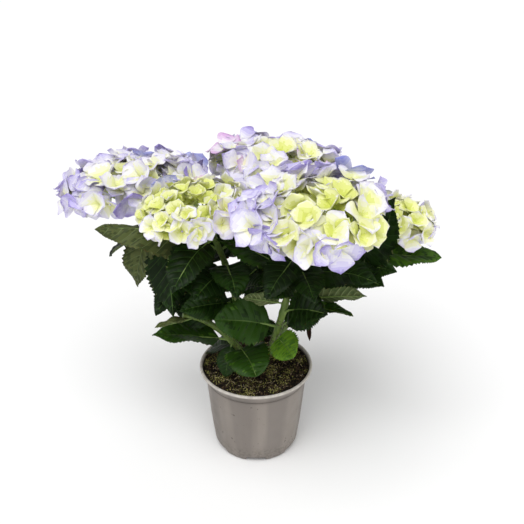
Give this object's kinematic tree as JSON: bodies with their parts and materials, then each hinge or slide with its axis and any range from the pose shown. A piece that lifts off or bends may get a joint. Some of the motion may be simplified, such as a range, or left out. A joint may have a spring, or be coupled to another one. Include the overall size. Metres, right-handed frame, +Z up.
{
  "type": "potted hydrangea",
  "caption": "Bushy mophead hydrangea with domed flower heads over arching leafy canes, standing in a round plastic grower's pot of compost.",
  "frame": {"origin": "centre of the pot's flat underside, on the surface that the pot stands on", "axes": "+Z up out of the pot, +X to the side where the small flower head leans out, -Y towards the largest flower head"},
  "size_m": [0.4299, 0.2966, 0.375],
  "materials": {
    "pot_plastic": "matt taupe-grey moulded plastic, lightly scuffed near the base",
    "compost": "dark moist peat compost with moss and pale grains",
    "bark": "brown flaking bark",
    "green_cane": "smooth green stem with fine dark flecks",
    "leaf": "dark glossy green leaf with pale veins, dull grey-green below",
    "blossom_cream": "soft petal-like sepals, lime to cream with lilac rims",
    "blossom_lilac": "soft petal-like sepals, lilac and violet with cream centres"
  },
  "bodies": {
    "root": {"cane_back": "green_cane", "cane_front_left": "green_cane", "cane_front_right": "green_cane", "cane_left": "green_cane", "cane_right": "green_cane", "flower_head_back": "blossom_lilac", "flower_head_front_left": "blossom_cream", "flower_head_front_right": "blossom_cream", "flower_head_left": "blossom_lilac", "flower_head_right": "blossom_cream", "leaves_back": "leaf", "leaves_front_left": "leaf", "leaves_front_right": "leaf", "leaves_left": "leaf", "leaves_low_left": "leaf", "leaves_right": "leaf", "pot": "pot_plastic", "soil": "compost", "woody_base": "bark"}
  },
  "joints": []
}
